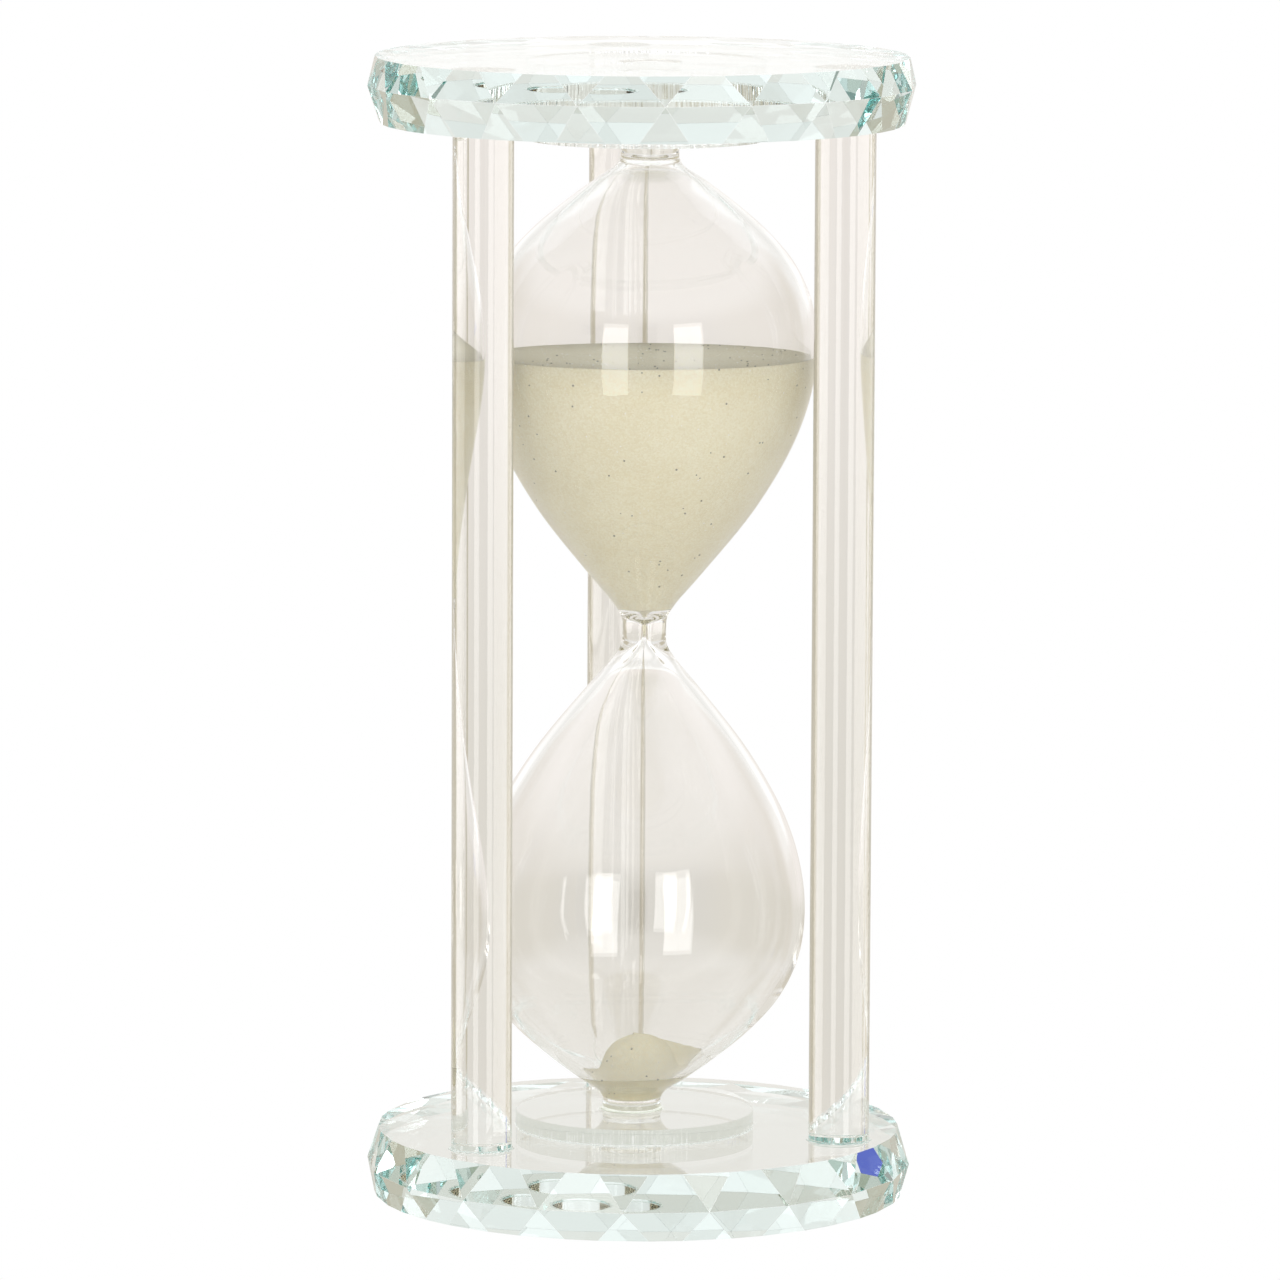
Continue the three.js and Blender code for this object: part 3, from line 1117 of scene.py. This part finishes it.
def sand_recipe() -> GeometryRecipe:
    """Build the tree that sets darker and lighter grains into the skin of a body of sand."""
    sizes = ["Dark Density", "Light Density", "Dark Size", "Light Size"]
    recipe = GeometryRecipe("Sand grains", dict.fromkeys(sizes, "Float") | {"Seed": "Int"}, shaped=True)
    tree, given = recipe.tree, recipe.given
    joined = tree.add("GeometryNodeJoinGeometry")
    tree.feed(joined.inputs[0], given["Geometry"])
    for kind, tone, seed in (("Dark", (-1.0, -0.6), 1), ("Light", (0.3, 1.0), 2)):
        number = tree.math("ADD", given["Seed"], float(seed))
        spots = tree.add(
            "GeometryNodeDistributePointsOnFaces",
            {"Mesh": given["Geometry"], "Density": given[f"{kind} Density"], "Seed": number},
        )
        grain = tree.add("GeometryNodeMeshIcoSphere", {"Radius": given[f"{kind} Size"], "Subdivisions": 2})
        size = tree.random(0.5, 1.2, number)
        turns = {0: (0.0, 0.0, 0.0), 1: (6.3, 6.3, 6.3), "Seed": number}
        turn = tree.add("FunctionNodeRandomValue", turns, data_type="FLOAT_VECTOR")
        grains = tree.add(
            "GeometryNodeInstanceOnPoints",
            {
                "Points": spots.outputs["Points"],
                "Instance": grain.outputs["Mesh"],
                "Rotation": turn,
                "Scale": size,
            },
        )
        toned = tree.add(
            "GeometryNodeStoreNamedAttribute",
            {"Geometry": grains, "Name": TONE_ATTRIBUTE, "Value": tree.random(*tone, number)},
            data_type="FLOAT",
            domain="INSTANCE",
        )
        tree.feed(joined.inputs[0], toned)
    recipe.finish(joined)
    return recipe


@dataclass
class Sand:
    """A body of fine sand pressed against one bulb's wall, with its coarser grains set into its skin."""

    glass: BlownGlass
    seed: int
    contact: float = 0.03 * MM
    rim_steps: int = 8
    top_rings: int = 48
    dark_density: float = 8000.0
    light_density: float = 26000.0
    dark_size: float = 0.27 * MM
    light_size: float = 0.2 * MM
    rim_margin: float = 0.5 * MM
    stitch_power: int = 6
    ripple: float = 0.0
    ripple_scale: float = 0.0
    ripple_slice: float = 0.0

    def ripple_at(self, x: float, y: float) -> float:
        """Return the top's small unevenness at a place off the glass's middle."""
        return noise.noise(Vector((x, y, self.ripple_slice)) * self.ripple_scale) * self.ripple

    def build_body(self, name: str, end: End, foot: Outline, rim: Callable[[float], float],
                   surface: Callable[[float, float], float]) -> bpy.types.Mesh:
        """Build the bare body: its foot, its side along the wall up to the rim, and its top.

        Args:
            name: The mesh's name.
            end: The bulb that holds it.
            foot: Radius and height from the axis to where the sand meets the wall.
            rim: The rim's level, from the angle round the glass.
            surface: The top's level, from x and y off the glass's middle.

        Returns:
            The closed mesh.
        """
        segments = self.glass.segments
        line = sorted(self.glass.inner_wall(end, self.glass.steps), key=lambda point: point[1])
        radii, heights = np.array(line).T
        angles = np.arange(segments) * 2 * math.pi / segments
        rims = np.array([rim(angle) for angle in angles])
        start, turned = foot[-1][1], min(rims) - self.rim_margin
        levels = [height for height in heights if start < height < turned] + [turned]
        rings = [(np.full(segments, radius), np.full(segments, height)) for radius, height in foot]
        rings += [(np.full(segments, np.interp(at, heights, radii)), np.full(segments, at)) for at in levels]
        for step in range(1, self.rim_steps + 1):
            height = turned + (rims - turned) * step / self.rim_steps
            rings.append((np.interp(height, heights, radii), height))
        for radius, _ in rings[len(foot):]:
            radius += self.contact  # each ring is an array of its own and is widened in place
        edge = rings[-1][0]
        stitch = 0.0
        for step in range(self.top_rings + 1):
            share = 1 - step / self.top_rings
            radius = edge * share
            x, y = radius * np.cos(angles), radius * np.sin(angles)
            height = np.array([surface(*point) for point in zip(x, y)])
            if step == 0:
                stitch = rims - height
            else:
                rings.append((radius, height + stitch * share**self.stitch_power))
        corners = np.array([np.stack((r * np.cos(angles), r * np.sin(angles), z), 1) for r, z in rings])
        _, faces = revolve([(0.0, 0.0)] * len(rings), segments)
        placed = self.glass.lean_over(self.glass.soften(corners.reshape(-1, 3)))
        return closed_mesh(name, placed, faces)

    def finish(self, name: str, mesh: bpy.types.Mesh, recipe: GeometryRecipe,
               sand: bpy.types.Material) -> None:
        """Set the coarser grains into a body of sand and hand it in.

        Args:
            name: The CAD node that it stands for.
            mesh: The bare body.
            recipe: The tree that sets the grains.
            sand: Its finish.
        """
        values = {
            "Dark Density": self.dark_density,
            "Light Density": self.light_density,
            "Dark Size": self.dark_size,
            "Light Size": self.light_size,
            "Seed": self.seed,
            "Material": sand,
        }
        hand_in(recipe.make(f"{name}_grains", values, mesh), Slot.SAND, name)


@dataclass
class UpperSand(Sand):
    """The sand still to run: a nearly level top, and a thread below that falls through the neck's bore.

    The arch is the underside above the thread: pairs of radius and level off the bridge, in millimetres.
    """

    level: float = 235.0 * MM
    bridge: float = 164.7 * MM
    thread_end: float = 156.5 * MM
    reach: float = 45 * MM
    tilt: float = 0.9 * MM
    ripple: float = 0.35 * MM
    ripple_scale: float = 70.0
    ripple_slice: float = 0.3
    thread_radii: Band = (0.42 * MM, 0.48 * MM)
    thread_widens: float = 5 * MM  # how far below the bridge the thread has its upper radius
    arch: tuple[Band, ...] = ((0.8, -2.4), (1.6, -1.2), (2.8, -0.6), (4.2, -0.3), (5.2, -0.1))

    def build(self, recipe: GeometryRecipe, sand: bpy.types.Material) -> None:
        """Build the upper sand.

        Args:
            recipe: The tree that sets the coarser grains.
            sand: Its finish.
        """
        low, high = self.thread_radii
        foot = [(0.0, self.thread_end), (low, self.thread_end), (high, self.bridge - self.thread_widens)]
        foot += [(radius * MM, self.bridge + drop * MM) for radius, drop in self.arch]

        def rim(angle: float) -> float:
            return self.level - self.tilt * math.sin(angle)

        def surface(x: float, y: float) -> float:
            return self.level - self.tilt * y / self.reach + self.ripple_at(x, y)

        mesh = self.build_body("upper_sand_grains", End.UPPER, foot, rim, surface)
        self.finish("upper_sand", mesh, recipe, sand)


@dataclass
class LowerSand(Sand):
    """The first sand through the neck: a steep-sided hill with a lobe that leans on the wall to its right."""

    rim_level: float = 34.6 * MM
    rim_slopes: tuple[float, float] = (0.037, -0.2)
    peak: float = 9.1 * MM
    roundness: float = 0.045
    hill_radius: float = 10.2 * MM
    hill_edge: float = 1.7 * MM
    front_spread: float = 3.0
    hill_shift: float = 1.6 * MM
    lobe_angle: float = 15.0
    lobe_half_width: float = 3.0 * MM
    lobe_start: float = 9.5 * MM
    lobe_fall: float = 0.26
    ripple: float = 0.25 * MM
    ripple_scale: float = 160.0
    ripple_slice: float = 0.8
    foot_gap: float = 0.4 * MM
    rim_passes: int = 12

    def surface(self, x: float, y: float) -> float:
        """Return the top's level at a place off the glass's middle."""
        turn = math.radians(self.lobe_angle)
        along = x * math.cos(turn) + y * math.sin(turn)
        beside = y * math.cos(turn) - x * math.sin(turn)
        away = math.hypot(x - self.hill_shift, y)
        crown = self.peak - self.roundness * away**2 / MM
        edge = self.hill_edge * (1 + self.front_spread * max(0.0, -y) / max(away, 0.1 * MM)) / 4
        hill = crown / (1 + math.exp(min(40.0, (away - self.hill_radius) / edge)))
        ridge = self.lobe_start - self.lobe_fall * along
        lobe = ridge * math.exp(-((beside / self.lobe_half_width) ** 2))
        joined = max(hill, lobe) if along > 0 else hill
        pool = self.rim_level + self.rim_slopes[0] * x + self.rim_slopes[1] * max(y, 0.0)
        return pool + joined + self.ripple_at(x, y)

    def build(self, recipe: GeometryRecipe, sand: bpy.types.Material, floor: float) -> None:
        """Build the lower sand.

        Args:
            recipe: The tree that sets the coarser grains.
            sand: Its finish.
            floor: The level of the seal that it stands on.
        """
        foot = [(0.0, floor), (self.glass.tube_inner - self.foot_gap, floor)]
        line = self.glass.inner_wall(End.LOWER, self.glass.steps)
        radii, heights = np.array(sorted(line, key=lambda point: point[1])).T

        def rim(angle: float) -> float:
            level = self.rim_level
            for _ in range(self.rim_passes):
                radius = float(np.interp(level, heights, radii))
                level = (level + self.surface(radius * math.cos(angle), radius * math.sin(angle))) / 2
            return level

        mesh = self.build_body("lower_sand_grains", End.LOWER, foot, rim, self.surface)
        self.finish("lower_sand", mesh, recipe, sand)


# Studio


@dataclass
class Studio:
    """A pale floor, soft light and the camera.

    A direction is a unit vector, so the bands' numbers are its parts to the right, to the back or up: a
    colour passes into the next from a band's first number to its second.
    """

    camera_place: Vector = field(default_factory=lambda: Vector((0.0, -2.5718, 0.5134)))
    pitch_degrees: float = 7.927
    roll_degrees: float = 0.25
    lens: float = 262.56
    floor_radius: float = 40.0
    sweep_radius: float = 0.16
    floor_drop: float = 0.1 * MM
    sweep_near: Colour = (0.755, 0.725, 0.662)
    sweep_far: Colour = (0.89, 0.845, 0.80)
    table_colour: Colour = (0.86, 0.85, 0.83)
    backdrop_colour: Colour = (1.06, 1.05, 1.03)
    wall_colour: Colour = (0.86, 0.85, 0.82)
    room_colour: Colour = (0.54, 0.49, 0.38)
    front_colour: Colour = (0.42, 0.42, 0.41)
    figure_colour: Colour = (0.02, 0.02, 0.02)
    front_band: Band = (0.3, 0.8)
    back_band: Band = (0.66, 0.74)
    sweep_band: Band = (-0.16, -0.08)
    backdrop_band: Band = (0.0, 0.06)
    wall_band: Band = (0.12, 0.24)
    table_band: Band = (-0.28, -0.45)
    ceiling_band: Band = (0.3, 0.6)
    figure_sides: Band = (0.10, 0.13)
    figure_ends: Band = (0.22, 0.26)
    figure_middle: float = 0.12
    figure_band: Band = (0.7, 0.8)
    softboxes: tuple[tuple[str, float, float], ...] = (
        ("softbox_left", -22.0, 0.50), ("softbox_right", 28.0, 0.56)
    )
    softbox_distance: float = 1.6
    softbox_radiance: float = 3.0
    softbox_levels: tuple[float, float] = (-0.45, 0.80)
    ceiling: float = 1.25
    fill_low: float = 1.08
    fill_level: float = 1.15
    fill_high: float = 0.97
    fill_low_band: Band = (-0.45, -0.15)
    fill_high_band: Band = (0.35, 0.65)
    card_place: Vector = field(default_factory=lambda: Vector((-1.12, 1.00, 0.30)))
    card_radius: float = 0.05
    card_colour: Colour = (0.05, 0.10, 0.62)
    view_limit: float = 200.0
    bounces: int = 256

    def build(self) -> None:
        """Build the camera, the floor, the surroundings and the lamps."""
        self.build_camera()
        self.build_floor()
        self.build_surroundings()
        for name, azimuth, width in self.softboxes:
            self.build_softbox(name, azimuth, width)
        self.build_card()
        scene = bpy.context.scene
        scene.view_settings.view_transform = "Standard"
        for limit in ("max", "glossy", "transmission", "transparent_max"):
            setattr(scene.cycles, f"{limit}_bounces", self.bounces)

    def build_camera(self) -> None:
        """Build the camera and make it the scene's own."""
        camera = bpy.data.cameras.new("camera")
        camera.lens = self.lens
        camera.clip_end = self.view_limit
        holder = new_piece("camera", camera)
        tip = Matrix.Rotation(math.radians(90 - self.pitch_degrees), 4, "X")
        roll = Matrix.Rotation(math.radians(self.roll_degrees), 4, "Z")
        holder.matrix_world = Matrix.Translation(self.camera_place) @ tip @ roll
        bpy.context.scene.camera = holder

    def build_floor(self) -> None:
        """Build the pale floor, which glows a little so that it stays white to the horizon."""
        material, tree = new_material("pale_floor")
        floor = self.build_disc("floor", self.floor_radius, -self.floor_drop, 64, material)
        seen = tree.add("ShaderNodeLightPath").outputs["Is Camera Ray"]
        shown = tree.mix(seen, self.sweep_near, WHITE)
        glow = tree.add("ShaderNodeEmission", {"Color": shown, "Strength": 1.0})
        away = tree.vector("LENGTH", tree.place(), result="Value")
        near = tree.math("LESS_THAN", away, self.sweep_radius)
        clear = tree.add("ShaderNodeBsdfTransparent")
        surface = tree.add("ShaderNodeMixShader", {0: tree.math("MAXIMUM", seen, near), 1: clear, 2: glow})
        tree.add("ShaderNodeOutputMaterial", {"Surface": surface})

    @staticmethod
    def build_disc(name: str, radius: float, level: float, sides: int,
                   material: bpy.types.Material) -> bpy.types.Object:
        """Build a flat round piece of the studio.

        Args:
            name: Its name.
            radius: Its radius.
            level: Its height.
            sides: Steps round its edge.
            material: Its finish.

        Returns:
            The disc.
        """
        corners, faces = revolve([(radius, level), (0.0, level)], sides)
        mesh = bpy.data.meshes.new(name)
        mesh.from_pydata(corners.tolist(), [], faces)
        mesh.materials.append(material)
        return new_piece(name, mesh)

    @staticmethod
    def ramp(tree: Tree, value: object, band: Band) -> bpy.types.NodeSocket:
        """Return 0 before the band, 1 past it, and a smooth step between."""
        inputs = {"Value": value, "From Min": band[0], "From Max": band[1]}
        return tree.add("ShaderNodeMapRange", inputs, interpolation_type="SMOOTHSTEP").outputs[0]

    def build_surroundings(self) -> None:
        """Build what the glass shows of the room, and the plain light that matt faces get instead.

        Behind stand a pale sweep, a white backdrop and a greyer wall above it; a bright ceiling is over
        all, a pale table below, a tan room at the sides, and in front a darker room with a dark figure.
        """
        world = bpy.data.worlds.new("studio")
        bpy.context.scene.world = world
        world.use_nodes = True
        tree = Tree(world.node_tree)
        world.node_tree.nodes.clear()
        way = tree.add("ShaderNodeTexCoord").outputs["Generated"]
        parts = tree.add("ShaderNodeSeparateXYZ", {0: way})
        x, y, z = (parts.outputs[axis] for axis in "XYZ")
        forwards = tree.math("MULTIPLY", y, -1.0)
        room = tree.mix(self.ramp(tree, forwards, self.front_band), self.room_colour, self.front_colour)
        behind = self.ramp(tree, y, self.back_band)
        sweep = tree.mix(self.ramp(tree, z, self.sweep_band), self.sweep_near, self.sweep_far)
        lit = tree.mix(behind, room, sweep)
        higher = self.ramp(tree, z, self.backdrop_band)
        backdrop = tree.mix(self.ramp(tree, z, self.wall_band), self.backdrop_colour, self.wall_colour)
        lit = tree.mix(tree.math("MULTIPLY", behind, higher), lit, backdrop)
        lit = tree.mix(self.ramp(tree, z, self.table_band), lit, self.table_colour)
        lit = tree.mix(self.ramp(tree, z, self.ceiling_band), lit, (self.ceiling,) * 3)
        beside = self.ramp(tree, tree.math("ABSOLUTE", x), self.figure_sides)
        off_middle = tree.math("ABSOLUTE", tree.math("SUBTRACT", z, self.figure_middle))
        over = self.ramp(tree, off_middle, self.figure_ends)
        figure = tree.math("MULTIPLY", tree.math("SUBTRACT", 1.0, beside), tree.math("SUBTRACT", 1.0, over))
        figure = tree.math("MULTIPLY", figure, self.ramp(tree, forwards, self.figure_band))
        lit = tree.mix(figure, lit, self.figure_colour)
        path = tree.add("ShaderNodeLightPath")
        fills = (self.fill_low,) * 3, (self.fill_level,) * 3
        fill = tree.mix(self.ramp(tree, z, self.fill_low_band), *fills)
        fill = tree.mix(self.ramp(tree, z, self.fill_high_band), fill, (self.fill_high,) * 3)
        scattered = tree.math("GREATER_THAN", path.outputs["Diffuse Depth"], 0.5)
        lit = tree.mix(scattered, lit, fill)
        shown = tree.mix(path.outputs["Is Camera Ray"], lit, WHITE)
        back = tree.add("ShaderNodeBackground", {"Color": shown, "Strength": 1.0})
        tree.add("ShaderNodeOutputWorld", {"Surface": back})

    def build_card(self) -> None:
        """Build the small blue card that gives the clear glass a spot of colour to show."""
        material, tree = new_material("blue_card")
        glow = tree.add("ShaderNodeEmission", {"Color": (*self.card_colour, 1.0), "Strength": 1.0})
        tree.add("ShaderNodeOutputMaterial", {"Surface": glow})
        card = self.build_disc("blue_card", self.card_radius, 0.0, 32, material)
        turn = (-self.card_place).to_track_quat("Z", "Y").to_matrix().to_4x4()
        card.matrix_world = Matrix.Translation(self.card_place) @ turn
        card.visible_camera = False

    def build_softbox(self, name: str, azimuth: float, width: float) -> None:
        """Build a tall soft lamp that stands on the floor and faces the hourglass.

        Args:
            name: The lamp's name.
            azimuth: Degrees to the right of the camera, as seen from the hourglass.
            width: Its width in metres.
        """
        bottom, top = self.softbox_levels
        height = top - bottom
        lamp = bpy.data.lights.new(name, "AREA")
        lamp.shape = "RECTANGLE"
        lamp.size = width
        lamp.size_y = height
        lamp.energy = self.softbox_radiance * math.pi * width * height
        holder = new_piece(name, lamp)
        turn = math.radians(azimuth)
        place = Vector((math.sin(turn), -math.cos(turn), 0.0)) * self.softbox_distance
        place.z = (bottom + top) / 2
        facing = Matrix.Rotation(turn, 4, "Z") @ Matrix.Rotation(math.radians(90), 4, "X")
        holder.matrix_world = Matrix.Translation(place) @ facing
        holder.visible_camera = False


# The whole


PLATE_FINISH = ClearFinish("plate_glass", Joint.PLATE, (1.15, 0.45, 0.48), 30 * MM, 0.02 * MM)
ROD_FINISH = ClearFinish("rod_glass", Joint.ROD, (0.8, 1.0, 1.3), 3 * MM, 0.012 * MM, drawn=0.02)
BLOWN_FINISH = ClearFinish("blown_glass", Joint.MARKED, (0.4, 0.5, 0.7), 12 * MM, 0.02 * MM)
ACRYLIC_FINISH = ClearFinish("acrylic", Joint.FLANGE, (0.6, 0.45, 0.55), 20 * MM, 0.01 * MM)
ADHESIVE_FINISH = ClearFinish("adhesive", Joint.MARKED, (1.0, 1.4, 3.0), 1.5 * MM, 0.12 * MM)
SEAL_FINISH = ClearFinish(
    "seal_adhesive", Joint.MARKED, (0.5, 0.6, 1.0), 1.5 * MM, 0.12 * MM, tint=(0.72, 0.70, 0.57)
)
SAND_FINISH = SandFinish("sand", (0.835, 0.755, 0.53), (0.97, 0.94, 0.775))
# A lighter, yellower copy of the sand's colour for the lower sand: painted light, standing in for the light
# that the glass, the plates and the upper sand keep from its hill
PAINTED_LIGHT_SAND_FINISH = SandFinish("sand_painted_lighter", (1.0, 0.89, 0.58), (1.0, 0.97, 0.76))
PLATE_TURNS = {End.LOWER: -3.0, End.UPPER: 4.7}
PLUG_DEPTHS = {End.LOWER: 2.2 * MM, End.UPPER: 6.0 * MM}
SAND_OFF_SEAL = 0.1 * MM


def build_frame_pieces(layout: Layout, effects: GlassEffects, adhesive: bpy.types.Material) -> None:
    """Build the plates, rods, beads and flanges.

    Args:
        layout: Shared levels and places.
        effects: The clear finishes' shader groups.
        adhesive: The adhesive's finish.
    """
    plate_glass = PLATE_FINISH.build(effects)
    rod_glass = ROD_FINISH.build(effects)
    acrylic = ACRYLIC_FINISH.build(effects)
    plate_recipe, rod_recipe, flange_recipe = Plate.recipe(), Rod.recipe(), Flange.recipe()
    for end, turn in PLATE_TURNS.items():
        Plate(end, layout, turn).build(plate_recipe, plate_glass)
        flange = Flange(end, layout)
        flange.build(flange_recipe, acrylic)
        flange.build_bead(adhesive)
    for place in Place:
        rod = Rod(place, layout)
        rod.build(rod_recipe, rod_glass)
        rod.build_beads(adhesive)


def build_glass_and_sand(layout: Layout, effects: GlassEffects) -> None:
    """Build the blown glass, its seals and the sand.

    Args:
        layout: Shared levels and places.
        effects: The clear finishes' shader groups.
    """
    glass = BlownGlass(layout)
    seals = {end: TubeSeal(end, glass, depth) for end, depth in PLUG_DEPTHS.items()}
    glass.build(BLOWN_FINISH.build(effects), seals)
    sealant = SEAL_FINISH.build(effects)
    for seal in seals.values():
        seal.build(sealant)
    recipe = sand_recipe()
    UpperSand(glass, seed=11).build(recipe, SAND_FINISH.build())
    floor = glass.tube_level + seals[End.LOWER].plug_depth + SAND_OFF_SEAL
    # The lower sand takes the lighter copy of the sand's colour: painted light on its hill
    LowerSand(glass, seed=29).build(recipe, PAINTED_LIGHT_SAND_FINISH.build(), floor)


def main() -> None:
    """Build the studio and every piece."""
    logging.basicConfig(level=logging.INFO, format="%(name)s: %(message)s")
    Studio().build()
    layout = Layout.from_frame()
    effects = GlassEffects(layout)
    adhesive = ADHESIVE_FINISH.build(effects)
    build_frame_pieces(layout, effects, adhesive)
    build_glass_and_sand(layout, effects)


if __name__ == "__main__":
    main()
